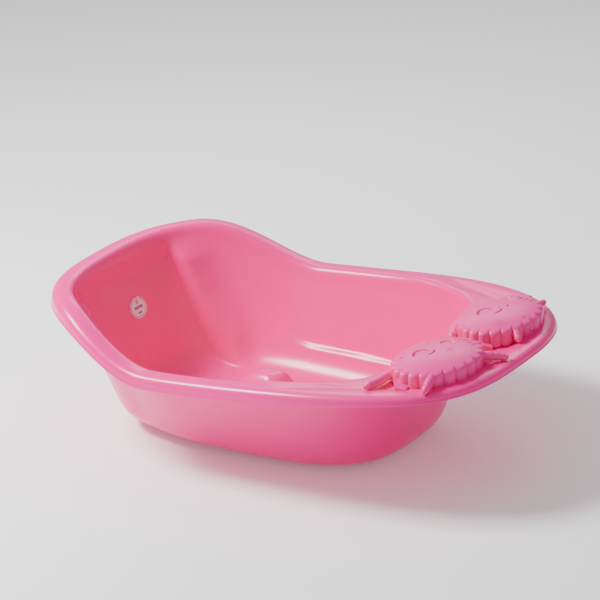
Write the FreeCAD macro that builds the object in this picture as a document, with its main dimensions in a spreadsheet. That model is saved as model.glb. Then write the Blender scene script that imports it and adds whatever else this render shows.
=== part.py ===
import FreeCAD, Part
import math
import os
import Sketcher

# Baby bathtub, millimetres: +X to the foot end, +Y to the bather's left, +Z up, ground at Z = 0.

doc = FreeCAD.newDocument("baby_bathtub")
sheet = doc.addObject("Spreadsheet::Sheet", "dims")

DIMS = [
    # name, value, what it is
    ("half_length", 416, "outer rim, middle to either end"),
    ("half_width", 276, "outer rim, widest half width"),
    ("widest_x", -46, "where the outline is widest"),
    ("head_power", 2.7, "squareness of the rim outline at the head"),
    ("foot_power", 3.1, "squareness of the rim outline at the foot"),
    ("wall_thick", 3, "moulded wall"),
    ("rim_width", 40, "rolled rim, outer edge to basin wall"),
    ("skirt_drop", 22, "rolled rim, top to the lower edge of its skirt"),
    ("head_top", 245, "rim top round the head end"),
    ("side_top", 171, "rim top along the low sides"),
    ("foot_top", 198.5, "rim top at the foot end"),
    ("wing_x", -366, "where the rim starts to fall from the head"),
    ("dip_x", -121, "where the low side begins"),
    ("rise_x", -220, "where the low side starts its slow rise"),
    ("level_x", 300, "where the foot end becomes level"),
    ("mouth_foot", 256, "front edge of the foot deck"),
    ("mouth_half", 229, "basin mouth half width where the foot deck starts"),
    ("mouth_power", 3.2, "squareness of the basin mouth at the foot"),
    ("mouth_drop", 17, "rim top down to the start of the basin wall"),
    ("floor_level", 8, "inner floor height"),
    ("floor_centre", -44, "middle of the floor outline"),
    ("disc_x", 50, "middle of the small flat disc that closes the floor"),
    ("floor_half_length", 258, "floor outline half length"),
    ("floor_half_width", 164, "floor outline half width"),
    ("floor_power", 3.0, "squareness of the floor outline"),
    ("floor_round", 22, "rounding between wall and floor"),
    ("ledge_level", 52, "step that runs along the side walls"),
    ("ledge_depth", 6, "step depth"),
    ("panel_half", 126, "backrest panel half width"),
    ("panel_recess", 9, "backrest panel recess"),
    ("ridge_height", 13, "bolster beside the backrest"),
    ("seat_x", -82, "seat bump crest"),
    ("seat_height", 66, "seat bump height"),
    ("seat_front", 50, "seat bump crest to its foot end"),
    ("seat_back", 120, "seat bump crest to its head end"),
    ("seat_wide", 60, "seat bump half width"),
    ("rib_inset", 27, "base rib inside the floor outline"),
    ("drain_x", 140, "drain position"),
    ("drain_bore", 30, "drain hole diameter"),
    ("drain_boss", 44, "drain boss diameter"),
    ("boss_level", 1, "lower face of the drain boss"),
    ("cover_x", 326, "soap cover position toward the foot"),
    ("cover_y", 94, "soap cover position off the centre line"),
    ("cover_long", 72, "cover skirt half size along the tub"),
    ("cover_wide", 80, "cover skirt half size across the tub"),
    ("cover_skirt", 20, "cover skirt height"),
    ("cover_dome", 16, "cover dome rise above its skirt"),
    ("cover_wall", 2.5, "cover thickness"),
    ("flute_radius", 11.5, "radius of one skirt flute"),
    ("flute_out", 5, "how far a flute stands out"),
    ("well_long", 46, "soap well half size along the tub"),
    ("well_wide", 60, "soap well half size across the tub"),
    ("well_depth", 26, "soap well depth below the deck"),
    ("arm_radius", 7, "cover arm radius"),
    ("stub_radius", 8, "cover stub radius"),
    ("plug_flange", 40, "plug flange diameter"),
    ("plug_stem", 25.4, "plug stem diameter"),
    ("plug_grip", 13, "plug grip height above its flange"),
    ("ring_minor", 1.5, "seal ring, half thickness"),
    ("ring_centre", 3.2, "seal ring above the stem's lower end"),
    ("groove_half", 1.6, "seal groove, half height"),
    ("groove_depth", 1.0, "seal groove depth"),
    ("label_long", 22, "label half size up the backrest"),
    ("label_wide", 17, "label half size across"),
    ("label_thick", 0.6, "label thickness"),
    ("label_up", 0.60, "label place up the backrest, 0 floor to 1 rim"),
    ("label_side", 47, "label place off the centre line"),
]
for row, (name, value, note) in enumerate(DIMS, start=1):
    sheet.set("A%d" % row, name)
    sheet.set("B%d" % row, str(value))
    sheet.set("C%d" % row, note)
    sheet.setAlias("B%d" % row, name)
doc.recompute()


def dim(name):
    return float(sheet.get(name))


def smooth(low, high, value):
    q = min(max((value - low) / (high - low), 0.0), 1.0)
    return q * q * (3 - 2 * q)


def superellipse(angle, along, across, power):
    c = math.cos(angle)
    s = math.sin(angle)
    r = (abs(c) ** power + abs(s) ** power) ** (-1.0 / power)
    return along * r * c, across * r * s


# ---- outlines of the shell, each a function of the angle round the tub (0 = foot, pi = head)

def rim_outline(angle):
    """The outline is widest off the middle and has its own squareness at each end."""
    toward_foot = math.cos(angle) > 0
    reach = dim("half_length") + dim("widest_x") * (-1 if toward_foot else 1)
    power = dim("foot_power") if toward_foot else dim("head_power")
    x, y = superellipse(angle, reach, dim("half_width"), power)
    return x + dim("widest_x"), y


def rim_inward(angle):
    x1, y1 = rim_outline(angle - 0.01)
    x2, y2 = rim_outline(angle + 0.01)
    length = math.hypot(x2 - x1, y2 - y1)
    return -(y2 - y1) / length, (x2 - x1) / length


def rim_top(x):
    low = dim("side_top") + (dim("foot_top") - dim("side_top")) * smooth(dim("rise_x"), dim("level_x"), x)
    return dim("head_top") + (low - dim("head_top")) * smooth(dim("wing_x"), dim("dip_x"), x)


def rim_point(angle, inward, drop):
    x, y = rim_outline(angle)
    nx, ny = rim_inward(angle)
    return FreeCAD.Vector(x + nx * inward, y + ny * inward, rim_top(x) - drop)


def mouth_plan(angle):
    """Where the basin wall starts: the rim's inner edge, and the front of the deck at the foot."""
    edge = rim_point(angle, dim("rim_width"), 0)
    x, y = superellipse(angle, dim("mouth_foot") - dim("widest_x"), dim("mouth_half"), dim("mouth_power"))
    x = x + dim("widest_x")
    w = smooth(0.0, 0.5, math.cos(angle))
    return edge.x * (1 - w) + x * w, edge.y * (1 - w) + y * w


def mouth_point(angle, outward, drop):
    x, y = mouth_plan(angle)
    x1, y1 = mouth_plan(angle - 0.01)
    x2, y2 = mouth_plan(angle + 0.01)
    length = math.hypot(x2 - x1, y2 - y1)
    top = rim_top(rim_outline(angle)[0])
    out_x, out_y = (y2 - y1) / length, -(x2 - x1) / length
    return FreeCAD.Vector(x + out_x * outward, y + out_y * outward, top - drop)


def floor_point(angle, scale):
    x, y = superellipse(angle, dim("floor_half_length"), dim("floor_half_width"), dim("floor_power"))
    x = x * scale + dim("floor_centre") * scale + dim("disc_x") * (1 - scale)
    return FreeCAD.Vector(x, y * scale, dim("floor_level") + seat_bump(x, y * scale))


def seat_bump(x, y):
    run = dim("seat_front") if x > dim("seat_x") else dim("seat_back")
    q = math.hypot((x - dim("seat_x")) / run, y / dim("seat_wide"))
    return dim("seat_height") * (1 - smooth(0.2, 1.0, q))


# ---- skin rows from the skirt edge over the rim, down the wall and across the floor

OUTER_ROWS = [  # share of the rim width inward, share of the skirt drop down
    (0.03, 1.0), (0.0, 0.78), (0.0, 0.5), (0.06, 0.22), (0.2, 0.04), (0.38, 0.0),
]
INNER_ROWS = [  # share of the rim width outward from the mouth, share of the mouth drop down
    (0.36, 0.0), (0.16, 0.1), (0.04, 0.4),
]


def wall_shape(point, share):
    """Adds the ledge, the backrest recess and the bolsters to a point of the plain wall."""
    inward = FreeCAD.Vector(dim("floor_centre") - point.x, -point.y, 0)
    inward.normalize()
    side = smooth(-196, -26, point.x) * (1 - smooth(134, 214, point.x))
    step = dim("ledge_depth") * side * (1 - smooth(-4, 6, point.z - dim("ledge_level")))
    head = (1 - smooth(-256, -196, point.x)) * smooth(0.0, 0.18, share) * (1 - smooth(0.9, 1.0, share))
    across = abs(point.y) - dim("panel_half")
    recess = -dim("panel_recess") * head * (1 - smooth(-14, 8, across))
    ridge = dim("ridge_height") * head * smooth(-4, 22, across) * (1 - smooth(26, 70, across))
    return point + inward * (step + recess + ridge)


def wall_point(angle, share):
    top = mouth_point(angle, 0, dim("mouth_drop"))
    foot = floor_point(angle, 1.0)
    inner = floor_point(angle, 1.0 - dim("floor_round") / dim("floor_half_width"))
    bend = 1.0 - dim("floor_round") / (top - foot).Length
    if share <= bend:
        return wall_shape(top * (1 - share) + foot * share, share)
    low = top * (1 - bend) + foot * bend
    q = (share - bend) / (1 - bend)
    curve = low * (1 - q) ** 2 + foot * 2 * q * (1 - q) + inner * q * q
    return wall_shape(curve, share)


def skin_rows(angle):
    width = dim("rim_width")
    rows = [rim_point(angle, a * width, b * dim("skirt_drop")) for a, b in OUTER_ROWS]
    inner = [mouth_point(angle, a * width, b * dim("mouth_drop")) for a, b in INNER_ROWS]
    rows += [(rows[-1] + inner[0]) * 0.5] + inner
    rows += [wall_point(angle, q) for q in (0.02, 0.1, 0.2, 0.35, 0.5, 0.62, 0.72, 0.8, 0.88, 0.94, 1.0)]
    start = 1.0 - dim("floor_round") / dim("floor_half_width")
    rows += [floor_point(angle, start * q) for q in (0.86, 0.7, 0.56, 0.44, 0.33, 0.23, 0.14, 0.06)]
    return rows


def grid(columns):
    return [skin_rows(2 * math.pi * i / columns) for i in range(columns)]


def offset_grid(points, depth):
    """The same rows moved by the wall thickness along the surface normal."""
    count = len(points)
    rows = len(points[0])
    result = []
    for i in range(count):
        column = []
        for j in range(rows):
            round_step = points[(i + 1) % count][j] - points[i - 1][j]
            down_step = points[i][min(j + 1, rows - 1)] - points[i][max(j - 1, 0)]
            normal = round_step.cross(down_step)
            normal.normalize()
            if j == rows - 1:
                normal = FreeCAD.Vector(0, 0, 1)
            if j == 0:
                normal.z = 0
                normal.normalize()
            column.append(points[i][j] - normal * depth)
        result.append(column)
    return result


def half_face(points):
    """A smooth open surface with the columns and rows as its control net."""
    count = len(points)
    rows = len(points[0])
    surface = Part.BSplineSurface()
    surface.buildFromPolesMultsKnots(
        points, [4] + [1] * (count - 4) + [4], [4] + [1] * (rows - 4) + [4],
        list(range(count - 2)), list(range(rows - 2)), False, False, 3, 3)
    return surface.toShape()


def edge_like(face, sample):
    """The boundary edge of a face that runs nearest a sample point."""
    vertex = Part.Vertex(sample)
    return min(face.Edges, key=lambda e: e.distToShape(vertex)[0])


def tub_skin():
    columns = 96
    upper = grid(columns)
    lower = offset_grid(upper, dim("wall_thick"))
    faces = []
    discs = [[], []]
    for start in (0, columns // 2):
        picked = [(start + i) % columns for i in range(columns // 2 + 1)]
        halves = []
        for layer, points in enumerate((upper, lower)):
            part = [points[i] for i in picked]
            face = half_face(part)
            halves.append((face, part))
            discs[layer].append(edge_like(face, part[17][-1]))
            faces.append(face)
        skirts = [edge_like(face, part[17][0]) for face, part in halves]
        faces.append(Part.makeRuledSurface(skirts[0], skirts[1]))
    faces += [Part.Face(Part.Wire(edges)) for edges in discs]
    shell = Part.makeShell(faces)
    shell.sewShape()
    solid = Part.makeSolid(Part.Shell(shell.Faces))
    if solid.Volume < 0:
        solid.reverse()
    return solid


def outline_prism(inset, level, height):
    scale_points = []
    steps = 96
    share = 1.0 - inset / dim("floor_half_width")
    for i in range(steps):
        p = floor_point(2 * math.pi * i / steps, share)
        scale_points.append(FreeCAD.Vector(p.x, p.y, level))
    curve = Part.BSplineCurve()
    curve.interpolate(scale_points, PeriodicFlag=True)
    return Part.Face(Part.Wire([curve.toShape()])).extrude(FreeCAD.Vector(0, 0, height))


def base_rib():
    under = dim("floor_level") - dim("wall_thick")
    outer = outline_prism(dim("rib_inset"), 0, under + 1.5)
    inner = outline_prism(dim("rib_inset") + dim("wall_thick"), -1, under + 3)
    return outer.cut(inner)


def feature(label, shape):
    obj = doc.addObject("Part::Feature", label)
    obj.Label = label
    obj.Shape = shape
    obj.Placement = FreeCAD.Placement()
    return obj


def solid(kind, label, bound, base=(0, 0, 0), axis=(0, 0, 1), angle=0):
    obj = doc.addObject(kind, label)
    obj.Label = label
    for name, expression in bound.items():
        obj.setExpression(name, expression)
    obj.Placement = FreeCAD.Placement(FreeCAD.Vector(*base), FreeCAD.Rotation(FreeCAD.Vector(*axis), angle))
    return obj


def oval(label, major, minor, height, base):
    """An upright oval prism, its long half size across the tub."""
    ring = doc.addObject("Part::Ellipse", label + "_ring")
    ring.setExpression("MajorRadius", major)
    ring.setExpression("MinorRadius", minor)
    ring.Placement = FreeCAD.Placement(FreeCAD.Vector(*base), FreeCAD.Rotation(FreeCAD.Vector(0, 0, 1), 90))
    prism = doc.addObject("Part::Extrusion", label)
    prism.Base = ring
    prism.DirMode = "Custom"
    prism.Dir = FreeCAD.Vector(0, 0, 1)
    prism.Solid = True
    prism.setExpression("LengthFwd", height)
    return prism


def fuse(label, parts):
    obj = doc.addObject("Part::MultiFuse", label)
    obj.Label = label
    obj.Shapes = parts
    return obj


def cut(label, base, tool):
    obj = doc.addObject("Part::Cut", label)
    obj.Label = label
    obj.Base = base
    obj.Tool = tool
    return obj


DECK = rim_top(dim("cover_x"))


def make_tub():
    skin = feature("tub_skin", tub_skin())
    rib = feature("base_rib", base_rib())
    boss = solid("Part::Cylinder", "drain_boss_body",
                 {"Radius": "dims.drain_boss / 2", "Height": "dims.floor_level - dims.wall_thick - dims.boss_level + 1"},
                 (dim("drain_x"), 0, dim("boss_level")))
    parts = [skin, rib, boss]
    tools = [solid("Part::Cylinder", "drain_bore_body",
                   {"Radius": "dims.drain_bore / 2", "Height": "dims.floor_level + 10"},
                   (dim("drain_x"), 0, -5))]
    for side, sign in (("left", 1), ("right", -1)):
        low = DECK - dim("well_depth")
        at = (dim("cover_x"), sign * dim("cover_y"), low)
        parts.append(oval("well_cup_" + side, "dims.well_wide + dims.wall_thick", "dims.well_long + dims.wall_thick",
                          "dims.well_depth - 1.5", at))
        above = (at[0], at[1], low + dim("wall_thick"))
        tools.append(oval("well_bore_" + side, "dims.well_wide", "dims.well_long", "dims.well_depth + 30", above))
    cut("tub_shell", fuse("tub_solid", parts), fuse("tub_openings", tools))


def rod(label, start, end, radius, kind="Part::Cylinder"):
    """A round bar between two points, its radius bound to the sheet."""
    a = FreeCAD.Vector(*start)
    b = FreeCAD.Vector(*end)
    obj = doc.addObject(kind, label)
    obj.Label = label
    if kind == "Part::Cylinder":
        obj.setExpression("Radius", radius)
    else:
        obj.setExpression("Radius1", radius)
        obj.setExpression("Radius2", radius + " * 0.45")
    obj.Height = (b - a).Length
    obj.Placement = FreeCAD.Placement(a, FreeCAD.Rotation(FreeCAD.Vector(0, 0, 1), b - a))
    return obj


def cover_limbs(name, cx, cy, base, side):
    """The moulded arm along the front of a cover and its two short cone stubs."""
    low = base + 9
    if side == "right":
        ends = ((-62, -38), (-90, -84))
        stubs = (((2, -30), (8, -84)), ((30, 34), (58, 66)))
    else:
        ends = ((-70, 22), (-62, -70))
        stubs = (((20, -40), (52, -74)), ((10, 36), (20, 84)))
    start = (cx + ends[0][0], cy + ends[0][1], low)
    tip = (cx + ends[1][0], cy + ends[1][1], low)
    limbs = [rod(name + "_arm", start, tip, "dims.arm_radius")]
    limbs.append(solid("Part::Sphere", name + "_arm_tip", {"Radius": "dims.arm_radius"}, tip))
    limbs.append(solid("Part::Sphere", name + "_arm_root", {"Radius": "dims.arm_radius"}, start))
    for i, (a, b) in enumerate(stubs):
        top = (cx + a[0], cy + a[1], base + dim("cover_skirt") + 3)
        end = (cx + b[0], cy + b[1], base + 10)
        limbs.append(rod("%s_stub_%d" % (name, i), top, end, "dims.stub_radius", "Part::Cone"))
    return limbs


def make_cover(side, sign):
    name = "soap_cover_" + side
    cx, cy = dim("cover_x"), sign * dim("cover_y")
    base = DECK + 0.6
    centre = (cx, cy, base)
    top = (cx, cy, base + dim("cover_skirt"))
    outer = [oval(name + "_drum", "dims.cover_wide - dims.flute_out", "dims.cover_long - dims.flute_out",
                  "dims.cover_skirt", centre)]
    flutes = 22
    for i in range(flutes):
        angle = 2 * math.pi * (i + 0.5) / flutes
        fx = cx + (dim("cover_long") - dim("flute_radius")) * math.cos(angle)
        fy = cy + (dim("cover_wide") - dim("flute_radius")) * math.sin(angle)
        outer.append(solid("Part::Cylinder", "%s_flute_%d" % (name, i),
                           {"Radius": "dims.flute_radius", "Height": "dims.cover_skirt"}, (fx, fy, base)))
    outer.append(solid("Part::Ellipsoid", name + "_dome",
                       {"Radius1": "dims.cover_dome", "Radius2": "dims.cover_long - dims.flute_out",
                        "Radius3": "dims.cover_wide - dims.flute_out", "Angle1": "0"}, top))
    outer += cover_limbs(name, cx, cy, base, side)
    void = [oval(name + "_void", "dims.cover_wide - dims.flute_out - dims.cover_wall",
                 "dims.cover_long - dims.flute_out - dims.cover_wall", "dims.cover_skirt + 1",
                 (cx, cy, base - 1))]
    void.append(solid("Part::Ellipsoid", name + "_dome_void",
                      {"Radius1": "dims.cover_dome - dims.cover_wall",
                       "Radius2": "dims.cover_long - dims.flute_out - dims.cover_wall",
                       "Radius3": "dims.cover_wide - dims.flute_out - dims.cover_wall"}, top))
    cut(name, fuse(name + "_outer", outer), fuse(name + "_inner", void))


def plug_sketch(body):
    """Half section of the plug: stem, ring groove, flange and grip, drawn at its axis."""
    plane = [o for o in body.Origin.OriginFeatures if o.Role == "XZ_Plane"][0]
    sketch = body.newObject("Sketcher::SketchObject", "plug_section")
    sketch.AttachmentSupport = (plane, "")
    sketch.MapMode = "FlatFace"
    stem = dim("plug_stem") / 2
    flange = dim("plug_flange") / 2
    under = dim("floor_level") - dim("boss_level") - 1
    groove = stem - dim("groove_depth")
    low = dim("ring_centre") - dim("groove_half") - under
    high = low + 2 * dim("groove_half")
    outline = [(0, -under), (stem, -under), (stem, low), (groove, low),
               (groove, high), (stem, high), (stem, 0), (flange, 0), (flange, 2),
               (flange - 2, 3), (6, 3), (4, 7), (9, dim("plug_grip") - 2), (7, dim("plug_grip")),
               (0, dim("plug_grip"))]
    for i, (x, z) in enumerate(outline):
        nx, nz = outline[(i + 1) % len(outline)]
        sketch.addGeometry(Part.LineSegment(FreeCAD.Vector(x, z, 0), FreeCAD.Vector(nx, nz, 0)), False)
    count = len(outline)
    for i in range(count):
        sketch.addConstraint(Sketcher.Constraint("Coincident", i, 2, (i + 1) % count, 1))
    stem_line = sketch.addConstraint(Sketcher.Constraint("Distance", 0, dim("plug_stem") / 2))
    sketch.setExpression("Constraints[%d]" % stem_line, "dims.plug_stem / 2")
    return sketch


def make_plug():
    body = doc.addObject("PartDesign::Body", "drain_plug")
    body.Label = "drain_plug"
    sketch = plug_sketch(body)
    turn = body.newObject("PartDesign::Revolution", "plug_turned")
    turn.Profile = sketch
    turn.ReferenceAxis = (sketch, ["V_Axis"])
    turn.Angle = 360
    sketch.Visibility = False
    body.Placement = FreeCAD.Placement(
        FreeCAD.Vector(dim("drain_x"), 0, dim("floor_level") + 0.1), FreeCAD.Rotation())


def make_seal():
    low = dim("boss_level") + 1.1 + dim("ring_centre")
    ring = solid("Part::Torus", "plug_seal", {"Radius2": "dims.ring_minor"}, (dim("drain_x"), 0, low))
    ring.setExpression("Radius1", "dims.plug_stem / 2 + 0.7")


def label_angle(share):
    """The angle round the tub where the backrest passes the label's middle."""
    angle = math.pi
    while wall_point(angle, share).y < dim("label_side"):
        angle -= 0.002
    return angle


def make_label():
    """A thin oval laid on the backrest panel."""
    share = 1 - dim("label_up")
    angle = label_angle(share)
    middle = wall_point(angle, share)
    slope = wall_point(angle, share - 0.09) - wall_point(angle, share + 0.09)
    slope.normalize()
    across = wall_point(angle - 0.06, share) - wall_point(angle + 0.06, share)
    normal = slope.cross(across)
    normal.normalize()
    if normal.z < 0:
        normal = normal * -1
    ring = doc.addObject("Part::Ellipse", "label_ring")
    ring.setExpression("MajorRadius", "dims.label_long")
    ring.setExpression("MinorRadius", "dims.label_wide")
    at = middle + normal * 0.8
    ring.Placement = FreeCAD.Placement(at, FreeCAD.Rotation(slope, across, normal, "ZXY"))
    prism = doc.addObject("Part::Extrusion", "label")
    prism.Label = "label"
    prism.Base = ring
    prism.DirMode = "Custom"
    prism.Dir = normal
    prism.Solid = True
    prism.setExpression("LengthFwd", "dims.label_thick")


make_tub()
make_cover("left", 1)
make_cover("right", -1)
make_plug()
make_seal()
make_label()
doc.recompute()

NODES = ["tub_shell", "soap_cover_left", "soap_cover_right", "drain_plug", "plug_seal", "label"]
for obj in doc.Objects:
    assert "Invalid" not in obj.State and "Error" not in obj.State, (obj.Label, obj.State)
os.makedirs("parts", exist_ok=True)
for node in NODES:
    obj = doc.getObjectsByLabel(node)[0]
    assert not obj.Shape.isNull() and obj.Shape.isValid(), node
    obj.Shape.exportStep("parts/%s.step" % node)
    print(node, round(obj.Shape.Volume / 1000, 2), "cm3", len(obj.Shape.Solids), obj.Shape.BoundBox)
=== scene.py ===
import math

import bpy
import numpy as np
from mathutils import Matrix, Vector


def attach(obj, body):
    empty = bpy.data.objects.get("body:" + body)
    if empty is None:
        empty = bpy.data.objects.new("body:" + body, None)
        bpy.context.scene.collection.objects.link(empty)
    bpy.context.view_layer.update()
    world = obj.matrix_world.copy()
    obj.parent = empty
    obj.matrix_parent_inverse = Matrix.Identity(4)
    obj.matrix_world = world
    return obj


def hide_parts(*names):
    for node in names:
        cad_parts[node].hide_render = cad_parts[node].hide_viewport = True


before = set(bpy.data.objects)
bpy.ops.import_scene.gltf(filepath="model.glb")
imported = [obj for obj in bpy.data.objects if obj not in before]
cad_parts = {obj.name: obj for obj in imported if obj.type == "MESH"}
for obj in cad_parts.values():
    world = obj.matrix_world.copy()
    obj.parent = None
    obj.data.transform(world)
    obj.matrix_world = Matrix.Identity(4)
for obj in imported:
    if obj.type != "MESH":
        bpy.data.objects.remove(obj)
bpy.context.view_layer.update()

# ---- sizes, metres: +X to the foot end, +Y to the bather's left, +Z up
END, HALF, WIDEST, HEAD_POWER, FOOT_POWER = 0.416, 0.276, -0.046, 2.7, 3.1
WALL, RIM, SKIRT, MOUTH_DROP = 0.003, 0.040, 0.022, 0.017
HEAD_TOP, SIDE_TOP, FOOT_TOP = 0.245, 0.171, 0.1985
WING_X, DIP_X, RISE_X, LEVEL_X = -0.350, -0.121, -0.220, 0.300
MOUTH_FOOT, MOUTH_HALF, MOUTH_POWER, DECK_DROP = 0.256, 0.229, 3.2, 0.005
FLOOR_Z, FLOOR_X, FLOOR_LONG, FLOOR_HALF, FLOOR_POWER = 0.008, -0.044, 0.258, 0.164, 3.0
FLOOR_ROUND, DISC_X = 0.040, 0.050
LEDGE_Z, LEDGE_IN, LEDGE_RISE = 0.052, 0.006, 0.075
PANEL_HALF, PANEL_DEEP, BOLSTER = 0.126, 0.007, 0.014
SKIRT_MORE, SKIRT_LESS = 0.22, 0.40
SEAT_X, SEAT_UP, SEAT_FRONT, SEAT_BACK, SEAT_HALF = -0.070, 0.078, 0.068, 0.140, 0.072
DRAIN_X, BORE, BOSS, BOSS_Z = 0.140, 0.0150, 0.0220, 0.001
RIB_INSET = 0.039
COVER_X, COVER_Y, COVER_A, COVER_B, COVER_WALL = 0.326, 0.094, 0.064, 0.087, 0.0025
COVER_Z = FOOT_TOP - DECK_DROP + 0.0006
FLUTES, LOBE, LEAN = 22, 0.0064, -9
WELL_LONG, WELL_WIDE, WELL_DEEP = 0.046, 0.060, 0.026


def smooth(low, high, value):
    """Zero below low, one above high, with an even S between."""
    q = np.clip((value - low) / (high - low), 0.0, 1.0)
    return q * q * (3 - 2 * q)


def oval(t, along, across, power):
    """A superellipse at angle t: power 2 is an ellipse, higher powers are squarer."""
    c, s = np.cos(t), np.sin(t)
    r = (np.abs(c) ** power + np.abs(s) ** power) ** (-1.0 / power)
    return along * r * c, across * r * s


# ---- the tub's shell, built as the CAD part's is, with finer rows and its own seat bump and deck

def rim_outline(t):
    """Widest off the middle, with its own squareness at each end."""
    foot = np.cos(t) > 0
    xf, yf = oval(t, END - WIDEST, HALF, FOOT_POWER)
    xh, yh = oval(t, END + WIDEST, HALF, HEAD_POWER)
    return np.where(foot, xf, xh) + WIDEST, np.where(foot, yf, yh)


def rim_top(x):
    """The height of the rim: high round the head, low at the side, rising again to the foot."""
    low = SIDE_TOP + (FOOT_TOP - SIDE_TOP) * smooth(RISE_X, LEVEL_X, x)
    return HEAD_TOP + (low - HEAD_TOP) * smooth(WING_X, DIP_X, x)


def outward(plan, t):
    """The level unit normal of a plan, pointing out."""
    x1, y1 = plan(t - 0.01)
    x2, y2 = plan(t + 0.01)
    length = np.hypot(x2 - x1, y2 - y1)
    return (y2 - y1) / length, -(x2 - x1) / length


def rim_point(t, inward, drop):
    """A place so far inward from the rim's edge and so far below its top."""
    x, y = rim_outline(t)
    nx, ny = outward(rim_outline, t)
    return np.stack([x - nx * inward, y - ny * inward, rim_top(x) - drop], -1)


def mouth_plan(t):
    """The edge of the basin: inside the rim all round, and further in at the foot for the deck."""
    edge = rim_point(t, RIM, 0)
    x, y = oval(t, MOUTH_FOOT - WIDEST, MOUTH_HALF, MOUTH_POWER)
    x = x + WIDEST
    w = smooth(0.0, 0.5, np.cos(t))
    return edge[..., 0] * (1 - w) + x * w, edge[..., 1] * (1 - w) + y * w


def mouth_point(t, out, drop):
    """A place so far out from the edge of the basin and so far below the rim's top."""
    x, y = mouth_plan(t)
    nx, ny = outward(mouth_plan, t)
    top = rim_top(rim_outline(t)[0])
    return np.stack([x + nx * out, y + ny * out, top - drop], -1)


def seat_bump(x, y):
    """The tongue between the legs: steep toward the feet, a long ramp toward the seat."""
    u = (x - SEAT_X) / np.where(x > SEAT_X, SEAT_FRONT, SEAT_BACK)
    q = (np.abs(u) ** 2.3 + np.abs(y / SEAT_HALF) ** 2.3) ** (1 / 2.3)
    start = 0.08 + 0.30 * smooth(-0.4, 0.9, u)
    return SEAT_UP * (1 - smooth(start, 1.0, q))


def floor_point(t, scale):
    """The floor's outline shrunk by scale toward the disc, with the seat bump on it."""
    x, y = oval(t, FLOOR_LONG, FLOOR_HALF, FLOOR_POWER)
    x = x * scale + FLOOR_X * scale + DISC_X * (1 - scale)
    return np.stack([x, y * scale, FLOOR_Z + seat_bump(x, y * scale)], -1)


def wall_shape(p, share, outside=False):
    """Adds the ledge, the backrest recess and the bolsters to the plain wall; the outside stays plain."""
    x, y, z = p[..., 0], p[..., 1], p[..., 2]
    away = np.stack([FLOOR_X - x, -y, 0 * x], -1)
    away /= np.linalg.norm(away, axis=-1, keepdims=True)
    side = smooth(-0.240, -0.07, x) * (1 - smooth(0.134, 0.214, x))
    rise = LEDGE_RISE * (1 - smooth(-0.24, -0.10, x)) ** 1.5
    step = LEDGE_IN * side * (1 - smooth(-0.0015, 0.0035, z - LEDGE_Z - rise))
    head = (1 - smooth(-0.256, -0.196, x)) * smooth(0.03, 0.14, share) * (1 - smooth(0.9, 1.0, share))
    across = np.abs(y) - PANEL_HALF
    recess = -PANEL_DEEP * head * (1 - smooth(-0.006, 0.003, across))
    ridge = BOLSTER * head * smooth(-0.004, 0.012, across) * (1 - smooth(0.016, 0.060, across))
    if outside:
        return p + away * (-PANEL_DEEP * head)[..., None]
    return p + away * (step + recess + ridge)[..., None]


def wall_point(t, share, outside=False):
    """The wall from the mouth at share 0 down to the floor at share 1, round the bottom corner."""
    top = mouth_point(t, 0, MOUTH_DROP)
    foot = floor_point(t, 1.0)
    inner = floor_point(t, 1.0 - FLOOR_ROUND / FLOOR_HALF)
    bend = (1.0 - FLOOR_ROUND / np.linalg.norm(top - foot, axis=-1))[..., None]
    low = top * (1 - bend) + foot * bend
    q = np.clip((share - bend) / (1 - bend), 0, 1)
    curve = low * (1 - q) ** 2 + foot * 2 * q * (1 - q) + inner * q * q
    straight = top * (1 - share) + foot * share
    return wall_shape(np.where(share <= bend, straight, curve), share, outside)


# rows of the rim: inward in rims' widths and down in skirts; then out in rims' widths and down in mouth drops
OUTER_ROWS = [(0.05, 1.0), (-0.02, 1.01), (-0.045, 0.95), (-0.03, 0.86), (0.0, 0.80),
              (0.0, 0.5), (0.06, 0.22), (0.2, 0.04), (0.38, 0.0)]
INNER_ROWS = [(0.30, 0.0), (0.16, 0.1), (0.04, 0.4)]


def deck_share(t):
    """One where there is room for a deck between the rim and the mouth, none along the sides."""
    x, y = rim_outline(t)
    mx, my = mouth_plan(t)
    return smooth(1.5 * RIM, 2.8 * RIM, np.hypot(x - mx, y - my))


def deck_rows(t):
    """From the rim's crown to the mouth: at the foot the deck lies a little below the rim."""
    deck = deck_share(t)
    rows = []
    for near, far, drop in ((0.43, 0.72, 0.0), (0.46, 0.92, 0.35), (0.49, 1.06, 0.95), (0.52, 1.3, 1.0)):
        edge = rim_point(t, 0, 0)
        inward = RIM * (near + (far - near) * deck)
        x, y = rim_outline(t)
        nx, ny = outward(rim_outline, t)
        rows.append(np.stack([x - nx * inward, y - ny * inward, edge[..., 2] - DECK_DROP * drop * deck], -1))
    return rows


def control_rows(t, outside=False):
    """All the rows that draw the tub's skin, from under the rim to the middle of the floor."""
    deck = deck_share(t)[..., None]
    along = rim_outline(t)[0]
    deeper = SKIRT_MORE * (1 - smooth(-0.40, -0.20, along))
    skirt = SKIRT * (1.0 + deeper - SKIRT_LESS * smooth(0.10, 0.36, along))
    rows = [rim_point(t, a * RIM, b * skirt) for a, b in OUTER_ROWS] + deck_rows(t)
    inner = [mouth_point(t, a * RIM, b * MOUTH_DROP) for a, b in INNER_ROWS]
    inner = [row - deck * (0, 0, DECK_DROP * part) for row, part in zip(inner, (1.0, 0.8, 0.3))]
    rows += [(rows[-1] + inner[0]) * 0.5] + inner
    rows += [wall_point(t, q, outside) for q in np.concatenate([[0.02, 0.1], np.linspace(0.15, 1.0, 40)])]
    start = 1.0 - FLOOR_ROUND / FLOOR_HALF
    rows += [floor_point(t, start * q) for q in np.linspace(0.90, 0.05, 34)]
    return rows


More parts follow.
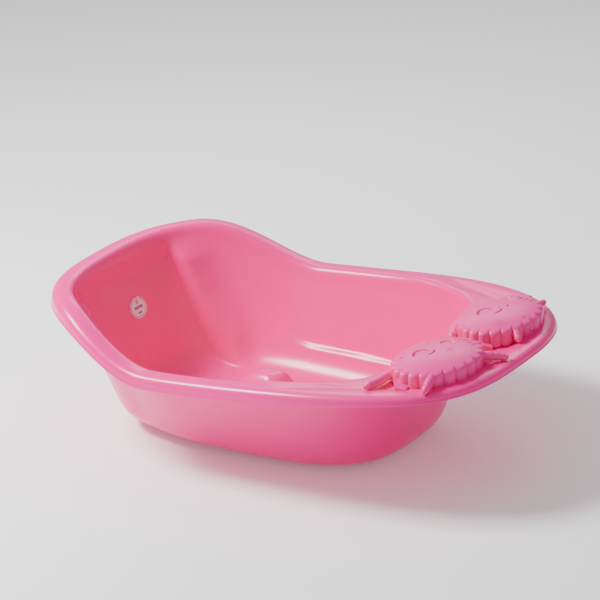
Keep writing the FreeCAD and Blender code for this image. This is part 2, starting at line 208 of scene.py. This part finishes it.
def curve_through(rows, steps):
    """A smooth curve drawn by the rows as its control points, evaluated row by row."""
    rows = [rows[0]] * 2 + rows + [rows[-1]] * 2
    result = [rows[0]]
    for i in range(len(rows) - 3):
        a, b, c, d = rows[i:i + 4]
        for k in range(1, steps + 1):
            u = k / steps
            w = ((1 - u) ** 3, 3 * u ** 3 - 6 * u * u + 4, -3 * u ** 3 + 3 * u * u + 3 * u + 1, u ** 3)
            result.append((a * w[0] + b * w[1] + c * w[2] + d * w[3]) / 6)
    return result


def normals(g):
    """Unit normals of a grid of rows by columns, closed round the columns, up and into the basin."""
    around = np.roll(g, -1, 1) - np.roll(g, 1, 1)
    down = np.empty_like(g)
    down[1:-1] = g[2:] - g[:-2]
    down[0] = g[1] - g[0]
    down[-1] = g[-1] - g[-2]
    n = np.cross(around, down)
    return n / np.maximum(np.linalg.norm(n, axis=-1, keepdims=True), 1e-12)


def grid_faces(rows, columns, start, flip=False):
    """Quads over a grid of rows by columns, closed round the columns."""
    faces = []
    for r in range(rows - 1):
        for c in range(columns):
            d = (c + 1) % columns
            f = [start + r * columns + c, start + r * columns + d,
                 start + (r + 1) * columns + d, start + (r + 1) * columns + c]
            faces.append(f[::-1] if flip else f)
    return faces


def thick_mesh(name, upper, lower, material, place=(0, 0, 0)):
    """A closed wall between two skins of the same rows and columns."""
    rows, columns = upper.shape[:2]
    count = rows * columns
    verts = np.concatenate([upper.reshape(-1, 3), lower.reshape(-1, 3)]) + np.array(place)
    faces = grid_faces(rows, columns, 0) + grid_faces(rows, columns, count, True)
    for c in range(columns):
        d = (c + 1) % columns
        faces.append([d, c, count + c, count + d])
    last = (rows - 1) * columns
    faces.append([last + c for c in range(columns)])
    faces.append([count + last + c for c in reversed(range(columns))])
    return mesh_object(name, verts, faces, material)


def edge_normals(g):
    """The skin's normals, level along its outer edge and upright in its middle."""
    n = normals(g)
    n[-1] = (0, 0, 1)
    n[0, :, 2] = 0
    n[0] /= np.linalg.norm(n[0], axis=-1, keepdims=True)
    return n


def mesh_object(name, verts, faces, material, smooth_shade=True):
    """A mesh of these corners and faces, as an object in the scene."""
    mesh = bpy.data.meshes.new(name)
    mesh.from_pydata([tuple(map(float, v)) for v in verts], [], faces)
    mesh.validate()
    mesh.update()
    obj = bpy.data.objects.new(name, mesh)
    bpy.context.scene.collection.objects.link(obj)
    if material:
        mesh.materials.append(material)
    if smooth_shade:
        mesh.polygons.foreach_set("use_smooth", [True] * len(mesh.polygons))
    return obj


def shell_mesh(material, columns=360):
    """The tub's whole moulding: the inner skin, and under it a plainer one."""
    t = np.linspace(0, 2 * np.pi, columns, endpoint=False) + 1e-5
    upper = np.stack(curve_through(control_rows(t), 2))
    plain = np.stack(curve_through(control_rows(t, True), 2))
    n = edge_normals(upper)
    m = normals(plain)
    m[-1], m[0] = n[-1], n[0]
    return thick_mesh("tub_body", upper, plain - m * WALL, material)


def cut_holes(body):
    """The two soap wells and the drain are cut through the shell, as in the CAD part."""
    cutters = [prism("cut_drain", DRAIN_X, 0, -0.01, 0.03, BORE, BORE)]
    for side, sign in (("left", 1), ("right", -1)):
        low = FOOT_TOP - WELL_DEEP + WALL
        cutters.append(prism("cut_well_" + side, COVER_X, sign * COVER_Y, low, 0.25, WELL_LONG, WELL_WIDE))
    for cutter in cutters:
        change = body.modifiers.new(cutter.name, "BOOLEAN")
        change.operation = "DIFFERENCE"
        change.solver = "EXACT"
        change.object = cutter
    bpy.context.view_layer.update()
    view = bpy.context.evaluated_depsgraph_get()
    mesh = bpy.data.meshes.new_from_object(body.evaluated_get(view))
    body.modifiers.clear()
    body.data = mesh
    for cutter in cutters:
        bpy.data.objects.remove(cutter)


def prism(name, x, y, low, high, along, across, count=96, material=None):
    t = np.linspace(0, 2 * np.pi, count, endpoint=False)
    ring = np.stack([x + along * np.cos(t), y + across * np.sin(t)], -1)
    verts = [(a, b, z) for z in (low, high) for a, b in ring]
    faces = [list(reversed(range(count))), list(range(count, 2 * count))]
    faces += [[i, (i + 1) % count, count + (i + 1) % count, count + i] for i in range(count)]
    return mesh_object(name, verts, faces, material, False)


def turned(name, place, profile, material, count=96):
    """A closed profile of (radius, height) turned round an upright axis."""
    t = np.linspace(0, 2 * np.pi, count, endpoint=False)
    verts = [(place[0] + r * c, place[1] + r * q, place[2] + z)
             for r, z in profile for c, q in zip(np.cos(t), np.sin(t))]
    rows = len(profile)
    faces = grid_faces(rows, count, 0, True)
    faces += [[(rows - 1) * count + (c + 1) % count, (rows - 1) * count + c, c, (c + 1) % count]
              for c in range(count)]
    return mesh_object(name, verts, faces, material)


def well_cup(side, sign, material):
    """The open cup under the deck that holds the soap."""
    low = FOOT_TOP - WELL_DEEP
    place = (COVER_X, sign * COVER_Y, 0)
    t = np.linspace(0, 2 * np.pi, 128, endpoint=False)
    top = FOOT_TOP - DECK_DROP - 0.0012
    loops = [(0.0, 0.0, low), (1.0, -0.004, low), (1.0, -0.0012, low + 0.0012), (1.0, 0.0, low + 0.004),
             (1.0, 0.0, top), (1.0, -WALL, top), (1.0, -WALL, low + WALL + 0.003),
             (1.0, -WALL - 0.003, low + WALL), (0.0, 0.0, low + WALL)]
    verts = []
    for share, grow, z in loops:
        a = (WELL_LONG + WALL + grow) * share if share else 0.001
        b = (WELL_WIDE + WALL + grow) * share if share else 0.001
        verts += [(place[0] + a * c, place[1] + b * q, z) for c, q in zip(np.cos(t), np.sin(t))]
    count = len(t)
    faces = grid_faces(len(loops), count, 0, True)
    faces.append(list(reversed(range(count))))
    faces.append([(len(loops) - 1) * count + c for c in range(count)])
    return mesh_object("soap_well_" + side, verts, faces, material)


def base_ring(material):
    """The rib that the tub stands on, set in from the edge of the floor."""
    t = np.linspace(0, 2 * np.pi, 240, endpoint=False)
    verts = []
    for inset, z in ((0.0, 0.007), (0.0, 0.0006), (0.0006, 0.0),
                     (WALL - 0.0006, 0.0), (WALL, 0.0006), (WALL, 0.007)):
        p = floor_point(t, 1 - (RIB_INSET + inset) / FLOOR_HALF)
        verts += [(a, b, z) for a, b in p[:, :2]]
    count = len(t)
    faces = grid_faces(6, count, 0, True)
    faces += [[5 * count + (c + 1) % count, 5 * count + c, c, (c + 1) % count] for c in range(count)]
    return mesh_object("base_rib", verts, faces, material)


# ---- the soap covers: fluted domes, each with a plain smiling face, an arm and cone stubs

def arc_distance(x, y, cx, cy, r, start, sweep):
    """Distance from points to an arc of a circle, angles in degrees."""
    a = np.degrees(np.arctan2(y - cy, x - cx))
    inside = (a - start) % 360 <= sweep
    ring = np.abs(np.hypot(x - cx, y - cy) - r)
    ends = [np.hypot(x - cx - r * math.cos(math.radians(e)), y - cy - r * math.sin(math.radians(e)))
            for e in (start, start + sweep)]
    return np.where(inside, ring, np.minimum(*ends))


def face_relief(x, y, sign):
    """Height added to the dome at points from its middle, metres; its marks are given in millimetres."""
    x, y = x * 1000, y * 1000
    if sign > 0:
        arcs = [(-12, -22, 12.5, 45, 200, 1.9), (-30, 30, 9, 20, 110, 1.8), (-13, 43, 9, 10, 110, 1.8),
                (-8, -12, 16, -30, 95, 1.3), (2, 12, 6, -20, 70, 1.0)]
        dots = [(-42, 2, 2.4)]
        lumps = [(0, 50, 15, 2.4), (-12, -22, 10, 0.7), (20, -40, 20, 1.0)]
    else:
        arcs = [(-11, -23, 13.5, 70, 185, 1.9), (-5, 31, 10.5, 60, 150, 1.9),
                (-14, -15, 16, -18, 60, 1.3), (-30, -46, 5, 100, 90, 1.2)]
        dots = [(-31, 19, 2.4)]
        lumps = [(12, 12, 9, 1.2), (-11, -23, 11, 0.7), (-5, 31, 8, 0.6)]
    rise = 0 * x
    for cx, cy, r, start, sweep, half in arcs:
        rise = rise - 4.4 * (1 - smooth(half * 0.6, half * 1.3, arc_distance(x, y, cx, cy, r, start, sweep)))
    for cx, cy, r in dots:
        rise = rise - 2.2 * (1 - smooth(r * 0.7, r * 1.3, np.hypot(x - cx, y - cy)))
    for cx, cy, r, up in lumps:
        rise = rise + up * (1 - smooth(r * 0.1, r, np.hypot(x - cx, y - cy)))
    for k in range(5):
        ridge = np.hypot(x + 14 - 9 * k, np.maximum(np.abs(y - 60) - 5, 0))
        rise = rise + 1 - smooth(0.6, 3.2, ridge)
    return rise / 1000


def cover_rows(sign, count):
    """The cover's top skin from its lower edge inward: a fluted skirt, then the moulded dome."""
    t = np.linspace(0, 2 * np.pi, count, endpoint=False)
    u = (t * FLUTES / (2 * np.pi)) % 1.0
    lobe = np.sqrt(np.clip(1 - (2 * u - 1) ** 2 * 0.96, 0, 1))
    tilt = math.radians(0 if sign > 0 else LEAN)
    rows = []
    skirt = [(0.985, 0.0, 1.0), (0.997, 0.001, 1.0), (1.0, 0.004, 1.0), (0.995, 0.010, 1.0),
             (0.990, 0.017, 1.0), (0.985, 0.0215, 1.0), (0.972, 0.0240, 1.0), (0.952, 0.0253, 0.95),
             (0.925, 0.0262, 0.80), (0.895, 0.0270, 0.52), (0.862, 0.0278, 0.22)]
    dome = [(q, 0.0, 0.0) for q in np.linspace(0.825, 0.012, 78)]
    for scale, z, flute in skirt + dome:
        reach = -LOBE * (1 - lobe) * flute
        x = (COVER_A * scale + reach) * np.cos(t)
        y = (COVER_B * scale + reach) * np.sin(t)
        if flute == 0.0:
            z = 0.0236 + 0.0125 * (1 - scale ** 2.5) + face_relief(x, y, sign)
        rows.append(np.stack([x * math.cos(tilt) - y * math.sin(tilt),
                              x * math.sin(tilt) + y * math.cos(tilt), z + 0 * x], -1))
    return np.stack(rows)


def cover_dome(side, sign, material, count=440):
    """A hollow fluted dome with the face on top."""
    upper = cover_rows(sign, count)
    lower = upper - edge_normals(upper) * COVER_WALL
    place = (COVER_X - 0.004, sign * COVER_Y, COVER_Z)
    return thick_mesh("soap_dome_" + side, upper, lower, material, place)


def tube(name, points, radii, material, sides=28, ring=()):
    """A round limb along a smooth path, its radius given at each point, with rounded ends."""
    pts = [np.array(p, float) for p in points]
    path = curve_through(pts, 10)
    steps = len(path)
    at = np.linspace(0, 1, steps)
    radius = np.interp(at, np.linspace(0, 1, len(radii)), radii)
    for mark in ring:
        radius = radius - 0.0009 * np.exp(-((at - mark) / 0.022) ** 2)
    verts = []
    for i, p in enumerate(path):
        step = path[min(i + 1, steps - 1)] - path[max(i - 1, 0)]
        step = step / np.linalg.norm(step)
        side = np.cross(step, (0, 0, 1.0))
        side /= np.linalg.norm(side)
        up = np.cross(side, step)
        for k in range(sides):
            w = 2 * math.pi * k / sides
            verts.append(p + (side * math.cos(w) + up * math.sin(w)) * radius[i])
    rings = [np.array(verts[i * sides:(i + 1) * sides]) for i in range(steps)]
    for end, sign in ((0, -1), (steps - 1, 1)):
        step = path[min(end + 1, steps - 1)] - path[max(end - 1, 0)]
        step = step / np.linalg.norm(step)
        base = np.array(verts[end * sides:(end + 1) * sides])
        middle = base.mean(0)
        for lift, shrink in ((0.5, 0.87), (0.85, 0.52), (0.98, 0.15)):
            cap = middle + (base - middle) * shrink + step * sign * radius[end] * lift
            rings.insert(0 if sign < 0 else len(rings), cap)
    flat = np.concatenate(rings)
    count = len(rings)
    faces = grid_faces(count, sides, 0)
    faces.append(list(range(sides)))
    faces.append([(count - 1) * sides + c for c in reversed(range(sides))])
    return mesh_object(name, flat, faces, material)


def wedge(name, place, size, turn, material):
    """A slanted block beside the skirt, its edges rounded."""
    w, l, h = size
    raw = [(-w / 2, 0, 0), (w / 2, 0, 0), (w / 2, -l, 0), (-w / 2, -l, 0),
           (-w / 2, 0, h), (w / 2, 0, h * 0.55), (w / 2, -l, h * 0.35), (-w / 2, -l, h * 0.6)]
    c, q = math.cos(turn), math.sin(turn)
    verts = [(place[0] + x * c - y * q, place[1] + x * q + y * c, place[2] + z) for x, y, z in raw]
    faces = [[3, 2, 1, 0], [4, 5, 6, 7], [0, 1, 5, 4], [1, 2, 6, 5], [2, 3, 7, 6], [3, 0, 4, 7]]
    obj = mesh_object(name, verts, faces, material, False)
    bevel = obj.modifiers.new("edge", "BEVEL")
    bevel.width = 0.0012
    bevel.segments = 3
    return obj


def joined(name, objects):
    """One mesh from several, so that a cover is one piece."""
    verts, faces, flags = [], [], []
    for obj in objects:
        bpy.context.view_layer.update()
        view = bpy.context.evaluated_depsgraph_get()
        mesh = bpy.data.meshes.new_from_object(obj.evaluated_get(view))
        start = len(verts)
        verts += [tuple(v.co) for v in mesh.vertices]
        faces += [[start + i for i in p.vertices] for p in mesh.polygons]
        flags += [p.use_smooth for p in mesh.polygons]
    material = objects[0].data.materials[0]
    for obj in objects:
        bpy.data.objects.remove(obj)
    result = mesh_object(name, verts, faces, material)
    result.data.polygons.foreach_set("use_smooth", flags)
    return result


def soap_cover(side, sign, material):
    """One cover with its limbs, as one piece."""
    cx, cy = COVER_X, sign * COVER_Y
    base = COVER_Z

    def at(points):
        return [(cx + x / 1000, cy + y / 1000, base + z / 1000) for x, y, z in points]

    parts = [cover_dome(side, sign, material)]
    if sign > 0:
        parts.append(tube("arm", at([(-44, 20, 9), (-62, 6, 10), (-66, -20, 10), (-60, -52, 9),
                                     (-46, -78, 8)]),
                          (0.0078, 0.0076, 0.0074, 0.0074, 0.0072), material))
        parts.append(tube("stub_a", at([(34, -28, 20), (48, -38, 18), (60, -50, 10)]),
                          (0.0062, 0.0080, 0.0038), material, ring=(0.55, 0.67, 0.79)))
        parts.append(tube("claw", at([(24, -2, 27), (38, -6, 25), (56, -10, 15)]),
                          (0.0052, 0.0090, 0.0062), material))
        parts.append(tube("knob_a", at([(-4, 84, 13), (-6, 96, 16)]), (0.0048, 0.0052), material))
        parts.append(tube("knob_b", at([(16, 82, 14), (22, 92, 15)]), (0.0048, 0.0052), material))
        parts.append(wedge("tab", (cx + 0.012, cy - 0.066, base), (0.018, 0.022, 0.015), 0.5, material))
    else:
        parts.append(tube("arm", at([(-38, -36, 9), (-52, -46, 10), (-54, -66, 10), (-54, -90, 9),
                                     (-62, -112, 8)]),
                          (0.0078, 0.0076, 0.0074, 0.0074, 0.0072), material))
        parts.append(tube("stub_a", at([(22, -58, 20), (28, -76, 17), (30, -98, 8)]),
                          (0.0080, 0.0076, 0.0036), material, ring=(0.5, 0.62, 0.74, 0.86)))
        parts.append(tube("stub_b", at([(44, 44, 17), (56, 56, 15), (76, 74, 9)]),
                          (0.0080, 0.0076, 0.0034), material, ring=(0.55, 0.66, 0.77, 0.88)))
        parts.append(wedge("tab", (cx - 0.018, cy - 0.076, base), (0.019, 0.024, 0.016), 0.25, material))
    cover = joined("soap_cover_shown_" + side, parts)
    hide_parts("soap_cover_" + side)
    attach(cover, "cover_" + side)
    return cover


# ---- the drain plug and its ring

def drain_parts(plug_mat, ring_mat):
    """The plug and its sealing ring."""
    z = FLOOR_Z + 0.0001
    profile = [(0.0002, -0.0060), (0.0122, -0.0060), (0.0127, -0.0055), (0.0127, -0.0045),
               (0.0117, -0.0043), (0.0117, -0.0013), (0.0127, -0.0011), (0.0127, 0.0),
               (0.0196, 0.0), (0.0200, 0.0005), (0.0199, 0.0016), (0.0190, 0.0026),
               (0.0175, 0.0030), (0.0070, 0.0030), (0.0052, 0.0040), (0.0046, 0.0066),
               (0.0060, 0.0088), (0.0084, 0.0102), (0.0088, 0.0115), (0.0078, 0.0126),
               (0.0050, 0.0130), (0.0002, 0.0130)]
    plug = turned("plug_shown", (DRAIN_X, 0, z), profile, plug_mat)
    ring = [(0.0134 + 0.0015 * math.cos(w), 0.0015 * math.sin(w))
            for w in np.linspace(0, 2 * np.pi, 16, endpoint=False)]
    seal = turned("seal_shown", (DRAIN_X, 0, BOSS_Z + 0.0043), ring, ring_mat)
    for obj, node, slot_name in ((plug, "drain_plug", "plug_plastic"), (seal, "plug_seal", "seal_rubber")):
        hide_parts(node)
        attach(obj, "plug")


# ---- the label: a small scalloped film on the backrest with plain marks and no words

LABEL_T, LABEL_SHARE, LABEL_LIFT, LABEL_LAYER = 3.02, 0.40, 0.0008, 0.00014


def label_point(u, v):
    """A place on the backrest, u metres across the tub and v metres up the slope from the label's middle."""
    t0 = np.array([LABEL_T])
    here = wall_point(t0, LABEL_SHARE)[0]
    across = wall_point(t0 - 0.02, LABEL_SHARE)[0] - here
    up = wall_point(t0, LABEL_SHARE - 0.02)[0] - here
    return wall_point(t0 - 0.02 * u / np.linalg.norm(across), LABEL_SHARE - 0.02 * v / np.linalg.norm(up))[0]


def label_patch(name, outline, lift, material):
    """A flat film whose outline is a list of (u, v), laid on the wall and raised a little."""
    here = label_point(0, 0)
    across = label_point(0.004, 0) - label_point(-0.004, 0)
    up = label_point(0, 0.004) - label_point(0, -0.004)
    across /= np.linalg.norm(across)
    normal = np.cross(across, up)
    normal /= np.linalg.norm(normal)
    if normal[2] < 0:
        normal = -normal
    up = np.cross(normal, across)
    if up[2] < 0:
        up = -up
    count = len(outline)
    verts = [here + across * u + up * v + normal * (lift + h) for h in (0.0, 0.00012) for u, v in outline]
    faces = [list(reversed(range(count))), list(range(count, 2 * count))]
    faces += [[i, (i + 1) % count, count + (i + 1) % count, count + i] for i in range(count)]
    return mesh_object(name, verts, faces, material, False)


def label_parts(white, mark, tint):
    """The film, a line inside its edge, and three plain marks: a bar, a drop and a foot."""
    w = np.linspace(0, 2 * np.pi, 160, endpoint=False)
    edge = 1 + 0.055 * np.abs(np.cos(5 * w))
    film, line, field = ([(long * c * e, high * q * e) for c, q, e in zip(np.cos(w), np.sin(w), edge)]
                         for long, high in ((0.0195, 0.0175), (0.0176, 0.0157), (0.0166, 0.0147)))
    bar = [(-0.0100, -0.0020), (0.0100, -0.0020), (0.0112, 0.0022), (0.0088, 0.0030),
           (-0.0088, 0.0030), (-0.0112, 0.0022)]
    drop = [(0.0036 * c, 0.0098 + 0.0042 * q) for c, q in zip(np.cos(w[::8]), np.sin(w[::8]))]
    foot = [(0.0056 * c, -0.0090 + 0.0018 * q) for c, q in zip(np.cos(w[::8]), np.sin(w[::8]))]
    layers = (("label_film", film, 0, white), ("label_line", line, 1, mark), ("label_field", field, 2, white),
              ("label_bar", bar, 3, mark), ("label_drop", drop, 3, tint), ("label_foot", foot, 3, mark))
    pieces = [label_patch(name, outline, LABEL_LIFT + LABEL_LAYER * layer, material)
              for name, outline, layer, material in layers]
    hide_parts("label")
    for piece in pieces:
        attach(piece, "tub")


# ---- materials

def plastic(name, color, rough, coat=0.0):
    """A plain glossy or matt plastic."""
    mat = bpy.data.materials.new(name)
    mat.use_nodes = True
    bsdf = mat.node_tree.nodes["Principled BSDF"]
    bsdf.inputs["Base Color"].default_value = (*color, 1)
    bsdf.inputs["Roughness"].default_value = rough
    bsdf.inputs["Coat Weight"].default_value = coat
    bsdf.inputs["Coat Roughness"].default_value = 0.12
    bsdf.inputs["Specular IOR Level"].default_value = 0.4
    return mat


tub_mat = plastic("tub_plastic", (0.96, 0.004, 0.27), 0.27, 0.06)
cover_mat = plastic("cover_plastic", (0.95, 0.02, 0.30), 0.34)
plug_mat = plastic("plug_plastic", (0.95, 0.01, 0.28), 0.3)
rubber_mat = plastic("seal_rubber", (0.72, 0.71, 0.69), 0.6)
white_mat = plastic("label_white", (0.88, 0.87, 0.86), 0.35)
mark_mat = plastic("label_mark", (0.30, 0.28, 0.31), 0.4)
tint_mat = plastic("label_tint", (0.80, 0.28, 0.24), 0.4)

tub = shell_mesh(tub_mat)
cut_holes(tub)
extras = [well_cup("left", 1, tub_mat), well_cup("right", -1, tub_mat), base_ring(tub_mat)]
boss = [(BORE, 0.0065), (BORE, BOSS_Z + 0.0004), (BORE + 0.0004, BOSS_Z), (BOSS - 0.0006, BOSS_Z),
        (BOSS, BOSS_Z + 0.0006), (BOSS, 0.0065)]
extras.append(turned("drain_boss", (DRAIN_X, 0, 0), boss, tub_mat))
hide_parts("tub_shell")
for piece in [tub] + extras:
    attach(piece, "tub")
soap_cover("left", 1, cover_mat)
soap_cover("right", -1, cover_mat)
drain_parts(plug_mat, rubber_mat)
label_parts(white_mat, mark_mat, tint_mat)

# ---- stage, light and camera

def stage_plane():
    """The pale floor."""
    mesh = bpy.data.meshes.new("floor")
    mesh.from_pydata([(-8, -8, 0), (8, -8, 0), (8, 8, 0), (-8, 8, 0)], [], [(0, 1, 2, 3)])
    floor = bpy.data.objects.new("floor", mesh)
    bpy.context.scene.collection.objects.link(floor)
    mat = plastic("floor_paper", (0.95, 0.95, 0.95), 0.9)
    bsdf = mat.node_tree.nodes["Principled BSDF"]
    bsdf.inputs["Emission Color"].default_value = (1, 1, 1, 1)
    bsdf.inputs["Emission Strength"].default_value = 0.12
    mesh.materials.append(mat)
    return floor


def area(name, place, target, size, watts, size_y):
    """A soft light at a place, turned to a target."""
    light = bpy.data.lights.new(name, "AREA")
    light.shape = "RECTANGLE"
    light.size = size
    light.size_y = size_y
    light.energy = watts
    obj = bpy.data.objects.new(name, light)
    obj.location = place
    obj.rotation_euler = (Vector(target) - Vector(place)).to_track_quat("-Z", "Y").to_euler()
    bpy.context.scene.collection.objects.link(obj)
    return obj


stage_plane()
world = bpy.data.worlds.new("studio")
world.use_nodes = True
world.node_tree.nodes["Background"].inputs["Color"].default_value = (1, 1, 1, 1)
world.node_tree.nodes["Background"].inputs["Strength"].default_value = 0.55
bpy.context.scene.world = world
area("key", (-1.3, -0.7, 1.9), (0, 0, 0.1), 0.8, 105, size_y=0.6)
area("back_strip", (-0.7, 1.5, 1.3), (0, 0, 0.1), 1.2, 7, size_y=0.6)

# the camera: angles in degrees, its distance and the offset of its aim in metres, its lens in millimetres
AZIMUTH, ELEVATION, ROLL, DISTANCE = 35.36, 21.88, 4.14, 5.715
AIM_RIGHT, AIM_UP, LENS, SENSOR = 0.031639, 0.107213, 209.169, 36


def place_camera():
    """Sets the camera where the picture is taken from."""
    a, e, r = (math.radians(v) for v in (AZIMUTH, ELEVATION, ROLL))
    back = Vector((math.sin(a) * math.cos(e), -math.cos(a) * math.cos(e), math.sin(e)))
    right = Vector((math.cos(a), math.sin(a), 0))
    up = back.cross(right)
    right, up = right * math.cos(r) - up * math.sin(r), right * math.sin(r) + up * math.cos(r)
    spot = Vector((WIDEST, 0, 0.1)) + right * AIM_RIGHT + up * AIM_UP + back * DISTANCE
    data = bpy.data.cameras.new("camera")
    data.sensor_width = SENSOR
    data.lens = LENS
    camera = bpy.data.objects.new("camera", data)
    turn = Matrix((right, up, back)).transposed()
    camera.matrix_world = Matrix.Translation(spot) @ turn.to_4x4()
    bpy.context.scene.collection.objects.link(camera)
    bpy.context.scene.camera = camera


place_camera()
